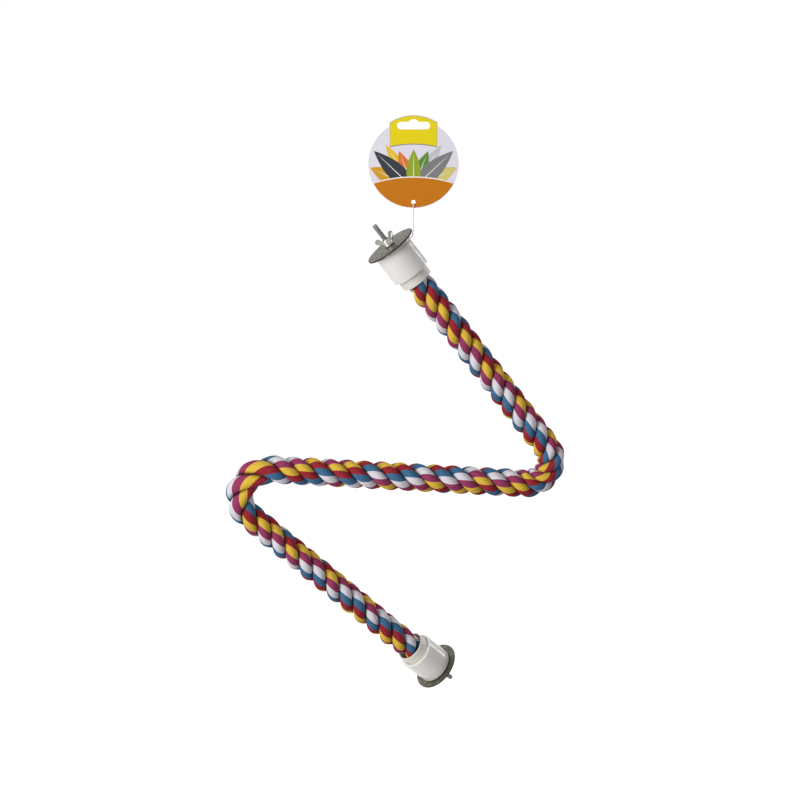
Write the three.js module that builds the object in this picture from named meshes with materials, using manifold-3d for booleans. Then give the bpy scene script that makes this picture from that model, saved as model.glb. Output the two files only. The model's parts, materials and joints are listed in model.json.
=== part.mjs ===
// A flexible rope perch for a bird cage: a cotton rope on a bendable steel wire, bent into a Z, with a
// plastic end fitting and a bolt clamp at each end. It hangs by its swing tag.
// Millimetres, +Z up, -Y is the front. The origin is where a hook meets the top of the tag's slot.

import * as THREE from "three";
import { mergeVertices } from "three/addons/utils/BufferGeometryUtils.js";
import Module from "manifold-3d";

// Fit: the gap between two pieces that touch, slide or turn on each other
const clearance = 0.3;

// Rope and wire core
const ropeDiameter = 27;
const coreDiameter = 4;
const neckLength = 40; // free rope next to the upper sleeve that gives when the clamp is tilted
const elbowLengthCount = 3; // an elbow is this many short lengths, which turn on each other as it bends

// Route of the rope from the upper clamp to the lower one: straights and bend radii
const upperStraight = 206;
const upperElbowRadius = 24;
const middleStraight = 239;
const lowerElbowRadius = 34;
const lowerStraight = 202;
const lowerNeckRadius = 150;
const lowerNeckStraight = 5;

// Way of each straight in degrees: turn from +X towards +Z, then lean away to the back
const upperTurnDegrees = -53.13;
const middleTurnDegrees = 176.6;
const lowerTurnDegrees = -45.8;
const lowerLeanDegrees = 10;
const lowerClampTurnDegrees = -47.3;
const lowerClampLeanDegrees = 18;

// End fitting: cap and sleeve
const capDiameter = 37.4;
const capLength = 31.3;
const capEndWall = 4;
const capRimRound = 1.2;
const capMouthChamfer = 0.8;
const sleeveWall = 1.45;
const sleeveReach = 9.6; // how far the sleeve stands out of the cap
const sleeveMouthRound = 0.5;

// Clamp: bolt, washers and wing nut
const boltDiameter = 5;
const boltReach = 25.8; // from the cap's end face to the bolt's tip
const boltTipChamfer = 0.7;
const headAcrossFlats = 8;
const headHeight = 3.5;
const headWasherDiameter = 15;
const headWasherThickness = 1.2;
const clampWasherDiameter = 50;
const clampWasherThickness = 1.5;
const clampWasherEdge = 0.35;
const clampLedge = 2; // band of the washer's inner face between the cap's rim and the free face
const nutBaseDiameter = 10;
const nutTopDiameter = 8.2;
const nutHeight = 7;
const earWidth = 5.4;
const earThickness = 1.8;
const earRootOut = 2.6; // ear's centre line: from its root in the hub to its tip
const earRootUp = 3.4;
const earTipOut = 7.2;
const earTipUp = 8.4;

// Swing tag and its thread
const clampDrop = 119.5; // from the hook to the upper cap's end face
const tagRadius = 41.2;
const tagCentreDrop = 41.5;
const tagThickness = 0.5;
const tabHalfWidth = 22;
const tabTop = 3.8;
const tabTopRadius = 39;
const slotLength = 29.8;
const slotHeight = 7;
const slotBump = 2.4;
const slotBumpHalfWidth = 4.6;
const tagHoleDiameter = 4;
const tagHoleDrop = 77;
const threadDiameter = 0.8;
const threadTopGap = 1.2; // from the hole's lower edge to the thread's centre
const threadLegSpread = 1.7;
const threadLegEndDrop = 89;
const threadLegEndSpread = 0.65;
const threadRingNear = 4.7; // the ring round the cap: its depth below the end face, by the tag's thread
const threadRingFar = 1.2; // and on the other side
const ringStartDegrees = 14; // degrees round the cap
const ringEndDegrees = 344;
const ringStepDegrees = 15;
const threadRingSlack = 0.5; // from the cap's side to the thread

// Facets
const roundSegments = 40;
const ropeSides = 12;
const coreSides = 8;
const threadSides = 8;
const threadSteps = 80;
const stepLength = 7; // along a bend

const wasm = await Module();
wasm.setup();

// Materials
function finish(red, green, blue, roughness, metalness) {
  const color = new THREE.Color().setRGB(red / 255, green / 255, blue / 255, THREE.SRGBColorSpace);
  return new THREE.MeshStandardMaterial({ color, roughness, metalness });
}
const cotton = () => finish(160, 105, 125, 0.95, 0);
const coreSteel = () => finish(120, 120, 122, 0.45, 1);
const whitePlastic = () => finish(226, 223, 217, 0.35, 0);
const creamPlastic = () => finish(215, 210, 195, 0.45, 0);
const galvanised = () => finish(150, 148, 138, 0.5, 1);
const brightZinc = () => finish(196, 196, 192, 0.25, 1);
const printedCard = () => finish(222, 196, 60, 0.4, 0);
const threadCotton = () => finish(235, 233, 228, 0.9, 0);

// Geometry helpers
function merged(geometry) {
  const bare = geometry.clone();
  bare.deleteAttribute("normal");
  bare.deleteAttribute("uv");
  return mergeVertices(bare, 1e-4);
}

function toSolid(geometry) {
  const bare = merged(geometry);
  return new wasm.Manifold(new wasm.Mesh({
    numProp: 3,
    vertProperties: new Float32Array(bare.attributes.position.array),
    triVerts: new Uint32Array(bare.index.array),
  }));
}

function fromSolid(solid) {
  const mesh = solid.getMesh();
  const geometry = new THREE.BufferGeometry();
  geometry.setAttribute("position", new THREE.BufferAttribute(mesh.vertProperties, 3));
  geometry.setIndex(new THREE.BufferAttribute(mesh.triVerts, 1));
  return geometry;
}

// A turned piece about Z. The profile runs anticlockwise in (radius, height) and closes on itself.
function turned(profile, segments = roundSegments) {
  const points = [...profile, profile[0]].map(([r, z]) => new THREE.Vector2(r, z));
  return new THREE.LatheGeometry(points, segments).rotateX(Math.PI / 2);
}

function polygon(path, sides, radius) {
  for (let i = 0; i < sides; i += 1) {
    const angle = (2 * Math.PI * i) / sides;
    const place = [radius * Math.cos(angle), radius * Math.sin(angle)];
    if (i === 0) path.moveTo(...place);
    else path.lineTo(...place);
  }
  path.closePath();
  return path;
}

function swept(curve, section, steps) {
  return new THREE.ExtrudeGeometry(section, { steps, extrudePath: curve });
}

function along(start, way, distance) {
  return start.clone().addScaledVector(way, distance);
}

function way(turn, lean = 0) {
  const t = THREE.MathUtils.degToRad(turn);
  const l = THREE.MathUtils.degToRad(lean);
  return new THREE.Vector3(Math.cos(l) * Math.cos(t), Math.sin(l), Math.cos(l) * Math.sin(t));
}

// A round bend from one way to another
class Bend extends THREE.Curve {
  constructor(start, wayIn, wayOut, radius) {
    super();
    this.axis = wayIn.clone().cross(wayOut).normalize();
    this.turn = wayIn.angleTo(wayOut);
    this.centre = along(start, this.axis.clone().cross(wayIn), radius);
    this.spoke = start.clone().sub(this.centre);
  }
  getPoint(t, target = new THREE.Vector3()) {
    return target.copy(this.spoke).applyAxisAngle(this.axis, t * this.turn).add(this.centre);
  }
  getTangent(t, target = new THREE.Vector3()) {
    const spoke = this.spoke.clone().applyAxisAngle(this.axis, t * this.turn);
    return target.crossVectors(this.axis, spoke).normalize();
  }
  // The stretch between two shares of the bend
  stretch(from, to) {
    return new Bend(this.getPoint(from), this.getTangent(from), this.getTangent(to), this.spoke.length());
  }
}

const perch = new THREE.Group();

function add(name, geometry, material, parent = perch) {
  const shape = merged(geometry);
  shape.computeVertexNormals();
  const mesh = new THREE.Mesh(shape, material);
  mesh.name = name;
  parent.add(mesh);
}

// Sizes that follow from the ones above
const ropeRadius = ropeDiameter / 2;
const sleeveBoreRadius = ropeRadius + clearance;
const sleeveRadius = sleeveBoreRadius + sleeveWall;
const capRadius = capDiameter / 2;
const boltHoleRadius = boltDiameter / 2 + clearance;
const washerRadius = clampWasherDiameter / 2;
const threadRadius = threadDiameter / 2;
const mouthDepth = capLength + sleeveReach; // from the cap's end face to the sleeve's mouth
const headTop = capEndWall + clearance + headWasherThickness + clearance;
const ropeEndDepth = headTop + headHeight + clearance;

// Route of the rope
const upperWay = way(upperTurnDegrees);
const middleWay = way(middleTurnDegrees);
const lowerWay = way(lowerTurnDegrees, lowerLeanDegrees);
const lowerClampWay = way(lowerClampTurnDegrees, lowerClampLeanDegrees);

const rimAcross = new THREE.Vector3(-upperWay.z, 0, upperWay.x); // across the upper clamp, to the upper right
const upperFace = new THREE.Vector3(-washerRadius * rimAcross.x - threadRadius - clearance, 0, -clampDrop);
const upperMouth = along(upperFace, upperWay, mouthDepth);
const upperNeckEnd = along(upperMouth, upperWay, neckLength);
const upperElbowStart = along(upperMouth, upperWay, upperStraight);
const upperElbow = new Bend(upperElbowStart, upperWay, middleWay, upperElbowRadius);
const middleStart = upperElbow.getPoint(1);
const middleEnd = along(middleStart, middleWay, middleStraight);
const lowerElbow = new Bend(middleEnd, middleWay, lowerWay, lowerElbowRadius);
const lowerStart = lowerElbow.getPoint(1);
const lowerNeckStart = along(lowerStart, lowerWay, lowerStraight);
const lowerNeck = new Bend(lowerNeckStart, lowerWay, lowerClampWay, lowerNeckRadius);
const lowerNeckEnd = lowerNeck.getPoint(1);
const lowerMouth = along(lowerNeckEnd, lowerClampWay, lowerNeckStraight);
const lowerFace = along(lowerMouth, lowerClampWay, mouthDepth);

// Rope and wire core, in lengths that meet end to end
const seam = clearance / 2; // each length stops this far short of the place where two of them meet
const lengths = {};

function straightLength(name, start, end) {
  const run = end.clone().sub(start).normalize();
  lengths[name] = new THREE.LineCurve3(along(start, run, seam), along(end, run, -seam));
}

function elbowLength(name, bend) {
  const trim = seam / bend.getLength();
  for (let i = 0; i < elbowLengthCount; i += 1) {
    const from = i / elbowLengthCount + trim;
    const to = (i + 1) / elbowLengthCount - trim;
    lengths[`${name}_${i + 1}`] = bend.stretch(from, to);
  }
}

const lowerNeckRoute = new THREE.CurvePath();
lowerNeckRoute.add(lowerNeck);
lowerNeckRoute.add(new THREE.LineCurve3(lowerNeckEnd, along(lowerFace, lowerClampWay, -ropeEndDepth)));

straightLength("upper_neck", along(upperFace, upperWay, ropeEndDepth - seam), upperNeckEnd);
straightLength("upper_run", upperNeckEnd, upperElbowStart);
elbowLength("upper_elbow", upperElbow);
straightLength("middle_run", middleStart, middleEnd);
elbowLength("lower_elbow", lowerElbow);
straightLength("lower_run", lowerStart, along(lowerNeckStart, lowerWay, -seam));
lengths.lower_neck = lowerNeckRoute;

const coreSection = polygon(new THREE.Shape(), coreSides, coreDiameter / 2);
const ropeSection = polygon(new THREE.Shape(), ropeSides, ropeRadius);
const coreBoreRadius = (coreDiameter / 2 + clearance) / Math.cos(Math.PI / coreSides);
ropeSection.holes.push(polygon(new THREE.Path(), coreSides, coreBoreRadius));

for (const [name, curve] of Object.entries(lengths)) {
  const isStraight = curve instanceof THREE.LineCurve3;
  const steps = isStraight ? 1 : Math.ceil(curve.getLength() / stepLength);
  add(`rope_${name}`, swept(curve, ropeSection, steps), cotton());
  add(`core_${name}`, swept(curve, coreSection, steps), coreSteel());
}

// End fittings, each in a frame with Z out along the bolt and its zero on the cap's end face
function cap() {
  const bore = sleeveRadius + clearance;
  return turned([
    [capRadius - capMouthChamfer, -capLength],
    [capRadius, -capLength + capMouthChamfer],
    [capRadius, -capRimRound],
    [capRadius - capRimRound * (1 - Math.SQRT1_2), -capRimRound * (1 - Math.SQRT1_2)],
    [capRadius - capRimRound, 0],
    [boltHoleRadius, 0],
    [boltHoleRadius, -capEndWall],
    [bore, -capEndWall],
    [bore, -capLength],
  ]);
}

function sleeve() {
  const inner = -capEndWall - clearance;
  return turned([
    [sleeveBoreRadius, -mouthDepth],
    [sleeveRadius - sleeveMouthRound, -mouthDepth],
    [sleeveRadius, -mouthDepth + sleeveMouthRound],
    [sleeveRadius, inner],
    [sleeveBoreRadius, inner],
  ]);
}

function boltWasher() {
  const top = -capEndWall - clearance;
  const radius = headWasherDiameter / 2;
  return turned([
    [boltHoleRadius, top - headWasherThickness],
    [radius, top - headWasherThickness],
    [radius, top],
    [boltHoleRadius, top],
  ], roundSegments / 2);
}

function bolt() {
  const radius = boltDiameter / 2;
  const overlap = headHeight / 2;
  const shank = turned([
    [0, -headTop - overlap],
    [radius, -headTop - overlap],
    [radius, boltReach - boltTipChamfer],
    [radius - boltTipChamfer, boltReach],
    [0, boltReach],
  ], roundSegments / 2);
  const headRadius = headAcrossFlats / Math.sqrt(3);
  const head = new THREE.CylinderGeometry(headRadius, headRadius, headHeight, 6);
  head.rotateX(Math.PI / 2).translate(0, 0, -headTop - headHeight / 2);
  return fromSolid(toSolid(head).add(toSolid(shank)));
}

function clampWasher() {
  const low = clearance;
  const high = low + clampWasherThickness;
  return turned([
    [boltHoleRadius, low],
    [capRadius + clampLedge, low],
    [washerRadius - clampWasherEdge, low],
    [washerRadius, low + clampWasherEdge],
    [washerRadius, high - clampWasherEdge],
    [washerRadius - clampWasherEdge, high],
    [boltHoleRadius, high],
  ]);
}

// One ear: a flat bar with round ends from the hub out to its tip
function ear(side) {
  const root = new THREE.Vector2(side * earRootOut, earRootUp);
  const tip = new THREE.Vector2(side * earTipOut, earTipUp);
  const slope = Math.atan2(tip.y - root.y, tip.x - root.x);
  const outline = new THREE.Shape();
  outline.absarc(tip.x, tip.y, earWidth / 2, slope - Math.PI / 2, slope + Math.PI / 2);
  outline.absarc(root.x, root.y, earWidth / 2, slope + Math.PI / 2, slope + (3 * Math.PI) / 2);
  const plate = new THREE.ExtrudeGeometry(outline, {
    depth: earThickness,
    bevelEnabled: false,
    curveSegments: 6,
  });
  return plate.rotateX(Math.PI / 2).translate(0, earThickness / 2, 0);
}

function wingNut() {
  const low = 2 * clearance + clampWasherThickness;
  const hub = turned([
    [0, 0],
    [nutBaseDiameter / 2, 0],
    [nutTopDiameter / 2, nutHeight],
    [0, nutHeight],
  ], roundSegments / 2);
  const boreLength = 3 * (nutHeight + earTipUp);
  const bore = new THREE.CylinderGeometry(boltHoleRadius, boltHoleRadius, boreLength, roundSegments / 2);
  bore.rotateX(Math.PI / 2);
  const ears = toSolid(ear(1)).add(toSolid(ear(-1)));
  const nut = toSolid(hub).add(ears).subtract(toSolid(bore));
  return fromSolid(nut).translate(0, 0, low);
}

function addEnd(prefix, face, outward, across) {
  const end = new THREE.Group();
  const side = new THREE.Vector3().crossVectors(outward, across);
  end.quaternion.setFromRotationMatrix(new THREE.Matrix4().makeBasis(across, side, outward));
  end.position.copy(face);
  add(`${prefix}_cap`, cap(), whitePlastic(), end);
  add(`${prefix}_sleeve`, sleeve(), creamPlastic(), end);
  add(`${prefix}_bolt`, bolt(), brightZinc(), end);
  add(`${prefix}_bolt_washer`, boltWasher(), brightZinc(), end);
  add(`${prefix}_clamp_washer`, clampWasher(), galvanised(), end);
  add(`${prefix}_wing_nut`, wingNut(), brightZinc(), end);
  perch.add(end);
}

const upperOutward = upperWay.clone().negate();
const lowerAcross = new THREE.Vector3(lowerClampWay.z, 0, -lowerClampWay.x).normalize();
addEnd("upper", upperFace, upperOutward, rimAcross);
addEnd("lower", lowerFace, lowerClampWay, lowerAcross);

// Swing tag: a round card with a raised tab, a hook slot and a hole for the thread
function swingTag() {
  const edge = Math.acos(tabHalfWidth / tagRadius);
  const corner = Math.acos(tabHalfWidth / tabTopRadius);
  const outline = new THREE.Shape();
  outline.absarc(0, -tagCentreDrop, tagRadius, edge, Math.PI - edge, true);
  outline.absarc(0, tabTop - tabTopRadius, tabTopRadius, Math.PI - corner, corner, true);
  outline.closePath();

  const slotEnd = slotHeight / 2;
  const slotOut = slotLength / 2 - slotEnd;
  const slotCentre = -slotBump - slotEnd;
  const bumpRadius = (slotBumpHalfWidth ** 2 + slotBump ** 2) / (2 * slotBump);
  const bumpEdge = Math.acos(slotBumpHalfWidth / bumpRadius);
  const slot = new THREE.Path();
  slot.absarc(slotOut, slotCentre, slotEnd, -Math.PI / 2, Math.PI / 2);
  slot.absarc(0, -bumpRadius, bumpRadius, bumpEdge, Math.PI - bumpEdge);
  slot.absarc(-slotOut, slotCentre, slotEnd, Math.PI / 2, (3 * Math.PI) / 2);
  slot.closePath();

  const hole = new THREE.Path();
  hole.absarc(0, -tagHoleDrop, tagHoleDiameter / 2, 0, 2 * Math.PI);
  outline.holes.push(slot, hole);
  const card = new THREE.ExtrudeGeometry(outline, {
    depth: tagThickness,
    bevelEnabled: false,
    curveSegments: 12,
  });
  return card.rotateX(Math.PI / 2).translate(0, tagThickness / 2, 0);
}

// Thread: up the back of the card, through its hole, down past the washer's rim and once round the cap
function threadRoute() {
  const top = -tagHoleDrop - tagHoleDiameter / 2 + threadTopGap;
  const points = [
    [0, threadLegEndSpread, -threadLegEndDrop],
    [0, threadLegSpread, -86],
    [0, threadLegSpread, -82],
    [0, threadLegSpread, top - threadLegSpread],
    [0, 0, top],
    [0, -threadLegSpread, top - threadLegSpread],
    [0, -threadLegSpread, -82],
    [0, -threadLegSpread, -86],
    [0, -threadLegEndSpread, -threadLegEndDrop],
    [0, 0, -93],
    [0, 0, -98],
    [0, 0, -103],
    [-0.6, 0.4, -107.5],
    [-1.2, 1.9, -110.5],
  ].map((place) => new THREE.Vector3(...place));
  const ringRadius = capRadius + threadRadius + threadRingSlack;
  const side = new THREE.Vector3().crossVectors(upperOutward, rimAcross);
  for (let degrees = ringStartDegrees; degrees <= ringEndDegrees; degrees += ringStepDegrees) {
    const angle = THREE.MathUtils.degToRad(degrees);
    const near = (1 + Math.cos(angle)) / 2;
    const below = threadRingFar + (threadRingNear - threadRingFar) * near;
    const point = along(upperFace, upperWay, below);
    point.addScaledVector(rimAcross, ringRadius * Math.cos(angle));
    points.push(point.addScaledVector(side, ringRadius * Math.sin(angle)));
  }
  return new THREE.CatmullRomCurve3(points, false, "centripetal");
}

const threadSection = polygon(new THREE.Shape(), threadSides, threadRadius);
add("swing_tag", swingTag(), printedCard());
add("tag_thread", swept(threadRoute(), threadSection, threadSteps), threadCotton());

export default perch;
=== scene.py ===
# A flexible rope perch: a three-strand cotton rope on a bendable wire, bent into a Z, with a plastic end
# fitting and a bolt clamp at each end and a swing tag. Metres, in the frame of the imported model.
import json
import math

import bpy
import numpy as np
from mathutils import Matrix, Vector

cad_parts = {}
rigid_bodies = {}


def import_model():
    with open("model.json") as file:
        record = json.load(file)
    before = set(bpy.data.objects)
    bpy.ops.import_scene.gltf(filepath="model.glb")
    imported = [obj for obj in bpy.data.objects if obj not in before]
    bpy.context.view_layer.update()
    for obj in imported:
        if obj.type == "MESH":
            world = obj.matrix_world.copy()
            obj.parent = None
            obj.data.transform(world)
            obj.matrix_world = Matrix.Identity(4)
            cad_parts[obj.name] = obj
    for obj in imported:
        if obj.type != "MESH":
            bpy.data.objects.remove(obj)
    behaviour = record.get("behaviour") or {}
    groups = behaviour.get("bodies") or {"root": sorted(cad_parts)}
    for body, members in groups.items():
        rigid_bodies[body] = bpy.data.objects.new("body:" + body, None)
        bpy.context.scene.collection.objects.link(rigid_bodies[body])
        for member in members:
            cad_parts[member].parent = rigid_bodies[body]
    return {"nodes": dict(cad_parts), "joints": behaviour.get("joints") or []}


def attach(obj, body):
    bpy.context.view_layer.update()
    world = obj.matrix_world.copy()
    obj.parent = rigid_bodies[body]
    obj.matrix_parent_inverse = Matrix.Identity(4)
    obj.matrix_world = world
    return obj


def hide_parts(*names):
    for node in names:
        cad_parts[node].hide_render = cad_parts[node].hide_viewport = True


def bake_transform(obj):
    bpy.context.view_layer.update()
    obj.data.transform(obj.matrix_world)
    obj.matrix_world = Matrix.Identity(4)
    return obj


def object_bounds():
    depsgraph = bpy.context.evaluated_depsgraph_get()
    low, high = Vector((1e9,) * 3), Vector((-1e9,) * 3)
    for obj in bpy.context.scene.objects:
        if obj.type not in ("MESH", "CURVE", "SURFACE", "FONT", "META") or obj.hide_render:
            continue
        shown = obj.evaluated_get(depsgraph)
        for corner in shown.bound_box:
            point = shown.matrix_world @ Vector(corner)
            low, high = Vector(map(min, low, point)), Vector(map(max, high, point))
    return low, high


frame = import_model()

cad_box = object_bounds()
MM = 0.001
FULL_TURN = 2 * math.pi
TINY = 1e-12
WHITE = (1.0, 1.0, 1.0, 1.0)

# Camera, at the photograph's viewing angle
CAMERA_TARGET = Vector((-0.0123, 0.0, -0.2701))
CAMERA_ELEVATION = math.radians(20)
CAMERA_DISTANCE = 2.0
CAMERA_LENS = 95.0
CAMERA_SENSOR = 36.0

# Thread that carries the tag: up the back of the card, through its hole, down and once round the cap
THREAD_DIAMETER = 0.8 * MM
THREAD_POINTS = [
    (0, 0.65, -89), (0, 1.7, -86), (0, 1.7, -82), (0, 1.7, -79.5), (0, 0, -77.8), (0, -1.7, -79.5),
    (0, -1.7, -82), (0, -1.7, -86), (0, -0.65, -89), (0, 0, -93), (0, 0, -98), (0, 0, -103),
    (-0.6, 0.4, -107.5), (-1.2, 1.9, -110.5),
]
THREAD_RING_RADIUS = 19.6 * MM
THREAD_RING_NEAR = 4.7 * MM  # from the cap's end face back to the ring, at its start and across from it
THREAD_RING_FAR = 1.2 * MM
THREAD_RING_DEGREES = range(14, 345, 15)
THREAD_ROUND_STEPS = 3
THREAD_CURVE_STEPS = 8

# Rope: its ends, its lay and its strands
ROPE_END_DEPTH = 9.6 * MM
LOWER_NECK_RADIUS = 150 * MM
BEND_STEPS = 90
STRANDS = 3
UPPER_LAY = 52 * MM  # length of one turn, in the three runs and in the two elbows between them
UPPER_ELBOW_LAY = 38.5 * MM
MIDDLE_LAY = 50.8 * MM
LOWER_ELBOW_LAY = 86 * MM
LOWER_LAY = 57 * MM
LOWER_ELBOW_ROLL = 1  # the wide elbow rolls each strand by one colour
LAY_START = math.radians(79.5)
LAY_EASE = 24 * MM  # the lay changes over this length
STRAND_COLOURS = (2.97, 0.85, 1.0)  # the colour on each strand's crest at the rope's upper end
STRAND_OFFSET = 7.35 * MM  # a strand's middle from the rope's middle
STRAND_OUT = 6.2 * MM  # half sizes of a strand: outwards, and inwards to the wire
STRAND_IN = 4.9 * MM
STRAND_FILL = 1.02  # a strand's width as a share of the room that it has beside the others
STRAND_EASE = 8 * MM
COLOURS = 5
COLOURS_PER_LAY = 11  # colours that pass the crest of a strand in one lay
YARN_CROWD = 0.43  # yarns spread on the outside of a strand and crowd together on its inside
YARNS_PER_COLOUR = 5
POINTS_PER_YARN = 3
POINTS_PER_COLOUR = YARNS_PER_COLOUR * POINTS_PER_YARN
RING_POINTS = COLOURS * POINTS_PER_COLOUR
RING_STEP = 0.9 * MM
YARN_RIDGE = 0.2 * MM  # height of a yarn's ridge and of a colour's bulge, and the share that is sunk
YARN_SINK = 0.6
BUNDLE_BULGE = 0.3 * MM
BUNDLE_SINK = 0.7
INNER_RELIEF = 0.35  # the share of that relief which is left on a strand's inside
GROOVE_SHADE_START = 0.38  # cosines from a strand's crest, between which painted shade darkens the yarns down to where the strands meet
GROOVE_SHADE_FULL = -0.25
MOUTH_SQUEEZE = 0.9  # the sleeve presses the rope's width to this share
MOUTH_EASE = 14 * MM
TONGUE = 3.5 * MM  # each length of rope runs on under its neighbour, so that a bend opens no gap
TONGUE_SHRINK = 0.96

# Wire in the rope's middle
WIRE_RADIUS = 2 * MM
WIRE_SIDES = 12

# Rope's bends: how far before and after its hinge a length turns from one body to the next
NECK_BLEND = 20 * MM
UPPER_BLEND = 5.5 * MM
LOWER_BLEND = 8 * MM
RUN_BLEND = 12 * MM
ROPE_BENDS = [
    # hinge, blend before it and after it
    ("upper_neck_bend", NECK_BLEND, NECK_BLEND),
    ("upper_elbow_bend_1", RUN_BLEND, UPPER_BLEND),
    ("upper_elbow_bend", UPPER_BLEND, UPPER_BLEND),
    ("upper_elbow_bend_3", UPPER_BLEND, UPPER_BLEND),
    ("upper_elbow_bend_4", UPPER_BLEND, RUN_BLEND),
    ("lower_elbow_bend_1", RUN_BLEND, LOWER_BLEND),
    ("lower_elbow_bend", LOWER_BLEND, LOWER_BLEND),
    ("lower_elbow_bend_3", LOWER_BLEND, LOWER_BLEND),
    ("lower_elbow_bend_4", LOWER_BLEND, RUN_BLEND),
    ("lower_neck_bend", NECK_BLEND, NECK_BLEND / 2),
]
# Nodes of the lengths with a neck. Each other length stands for that of the body before its hinge.
NECK_NODES = {"upper_end": ["upper_neck"], "lower_run": ["lower_run", "lower_neck"]}

# End fittings: each fitting's corners are rounded by a radius of their own
ROUND_SEGMENTS = 96
CORNER_STEPS = 5
CRISP_EDGE = math.radians(35)
CLEARANCE = 0.3 * MM
CAP_RADIUS = 18.7 * MM
CAP_LENGTH = 31.3 * MM
CAP_BORE = 15.55 * MM
CAP_WALL = 4 * MM
CAP_END_ROUND = 1.6 * MM
CAP_RIM_ROUND = 0.9 * MM
CAP_MOUTH_ROUND = 1.0 * MM
CAP_FLOOR_ROUND = 0.5 * MM
SLEEVE_RADIUS = 15.25 * MM
SLEEVE_BORE = 13.8 * MM
SLEEVE_REACH = 9.6 * MM
SLEEVE_RIM_ROUND = 0.6 * MM
SLEEVE_MOUTH_ROUND = 0.45 * MM
SLEEVE_END_ROUND = 0.2 * MM
WASHER_RADIUS = 25 * MM
WASHER_THICKNESS = 1.5 * MM
WASHER_INNER_ROUND = 0.35 * MM
WASHER_OUTER_ROUND = 0.6 * MM
WASHER_HOLE_ROUNDS = (0.15 * MM, 0.25 * MM)
# width of the washer's rim that gets painted shade and a painted dark reflection
EDGE_SHADE_WIDTH = 0.45 * MM

# Bolt: a screw thread's crest and root are shares of its pitch, from the middle of the crest
BOLT_RADIUS = 2.5 * MM
BOLT_HOLE = 2.8 * MM
BOLT_HOLE_ROUND = 0.2 * MM
BOLT_REACH = 25.8 * MM
BOLT_SIDES = 32
SCREW_PITCH = 0.8 * MM
SCREW_DEPTH = 0.43 * MM
SCREW_CREST = 0.1
SCREW_ROOT = 0.3
SCREW_ROWS = 8
TIP_LENGTH = 0.9 * MM
TIP_DEPTH = 1.4 * SCREW_DEPTH
HEAD_WIDTH = 8 * MM
HEAD_HEIGHT = 3.5 * MM
HEAD_TOP = 5.8 * MM
HEAD_SIDES = 6
HEAD_RINGS = [(0.0, 1.0), (0.8, 1.0), (1.0, 0.86)]  # share of the head's height and of its width

# Wing nut: its ears are drawn in the plane of their outline, as distance from the bolt and height
NUT_BASE = 5 * MM
NUT_BASE_ROUND = 0.4 * MM
NUT_TOP = 4.1 * MM
NUT_TOP_ROUND = 0.9 * MM
NUT_HEIGHT = 7 * MM
NUT_SEGMENTS = 48
NUT_VOXEL = 0.22 * MM
NUT_SMOOTHING = 0.5
NUT_SMOOTHING_ROUNDS = 4
EAR_TIP = (7.2 * MM, 8.4 * MM)
EAR_TIP_RADIUS = 2.7 * MM
EAR_TIP_SWEEP = (-95, 105)  # degrees either side of the line from the ear's shoulder to its tip
EAR_SHOULDER = (2.6 * MM, 3.4 * MM)
EAR_ROOT = [(3.4 * MM, 6.2 * MM), (3.4 * MM, 0.9 * MM), (5.0 * MM, 2.2 * MM)]
EAR_THICKNESS = 1.8 * MM
EAR_DISH_SHIFT = (0.6 * MM, 0.5 * MM)
EAR_RINGS = [  # share of the way from the dish's middle to the outline, and of the ear's thickness
    (0.0, 0.34), (0.35, 0.36), (0.55, 0.42), (0.7, 0.5), (0.84, 0.5), (0.95, 0.34), (1.0, 0.0),
]

# Swing tag: a round card with a tab on top, a hook slot in the tab and a hole for the thread
TAG_RADIUS = 41.2 * MM
TAG_CENTRE = -41.5 * MM
TAG_THICKNESS = 0.5 * MM
TAB_HALF_WIDTH = 22 * MM
TAB_TOP = 3.8 * MM
TAB_RADIUS = 39 * MM
TAB_BOTTOM = -22.5 * MM
SLOT_LENGTH = 29.8 * MM
SLOT_HEIGHT = 7 * MM
SLOT_BUMP = 2.4 * MM
SLOT_BUMP_HALF_WIDTH = 4.6 * MM
TAG_HOLE_RADIUS = 2 * MM
TAG_HOLE_DROP = 77 * MM

# Print on the tag: a panel with its shade, a fan of leaves with their ribs, and a foot under a white line
INK = 0.03 * MM
PANEL_INSET = 0.9 * MM
PANEL_SAG = 90 * MM  # radius of the panel's lower edge
SHADE_INSET = 0.6 * MM
SHADE_DROP = 0.9 * MM
FOOT_INSET = 0.6 * MM
FOOT_TOP = -54 * MM
FOOT_HILL = 120 * MM  # radius of the foot's upper edge
FOOT_LINE = 1.1 * MM
LEAVES = [
    # degrees from upright, length and width in millimetres, layer from the back, colour
    (-64, 44, 18, 1, (214, 160, 40)),
    (-46, 50, 16, 2, (52, 58, 66)),
    (-32, 48, 12, 0, (236, 196, 52)),
    (-21, 37, 13, 1, (226, 120, 52)),
    (0, 36, 13, 3, (150, 168, 42)),
    (21, 37, 13, 1, (92, 140, 58)),
    (32, 48, 12, 0, (196, 198, 200)),
    (46, 50, 16, 2, (128, 130, 130)),
    (64, 44, 18, 1, (218, 204, 120)),
]
LEAF_LAYERS = 4
LEAF_ROOT = (0.0, -64 * MM)
LEAF_STATIONS = 18
LEAF_BELLY = 0.8  # powers that set a leaf's widest place and how blunt its ends are
LEAF_BLUNTNESS = 0.9
RIB_REACH = 0.9  # a rib's length as a share of its leaf's
RIB_WIDTH = 0.7

# Stage: a white floor far below, white surroundings and soft light
FLOOR_DROP = 1.0
FLOOR_HALF = 8.0
FLOOR_GREY = (0.5, 0.5, 0.5, 1.0)
FLOOR_ROUGHNESS = 0.9
FLOOR_LIFT = 0.9
WORLD_LIGHT = 0.34
SOFTBOXES = [
    # name, place, power in watts, width, height, whether polished surfaces mirror it
    ("key", (-1.25, -1.3, 0.1), 35, 0.8, 2.4, True),
    ("strip", (1.6, 1.07, 0.2), 9, 0.3, 1.4, True),
    ("rear", (0.0, 2.0, 0.1), 24, 1.4, 1.4, False),
]

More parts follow.
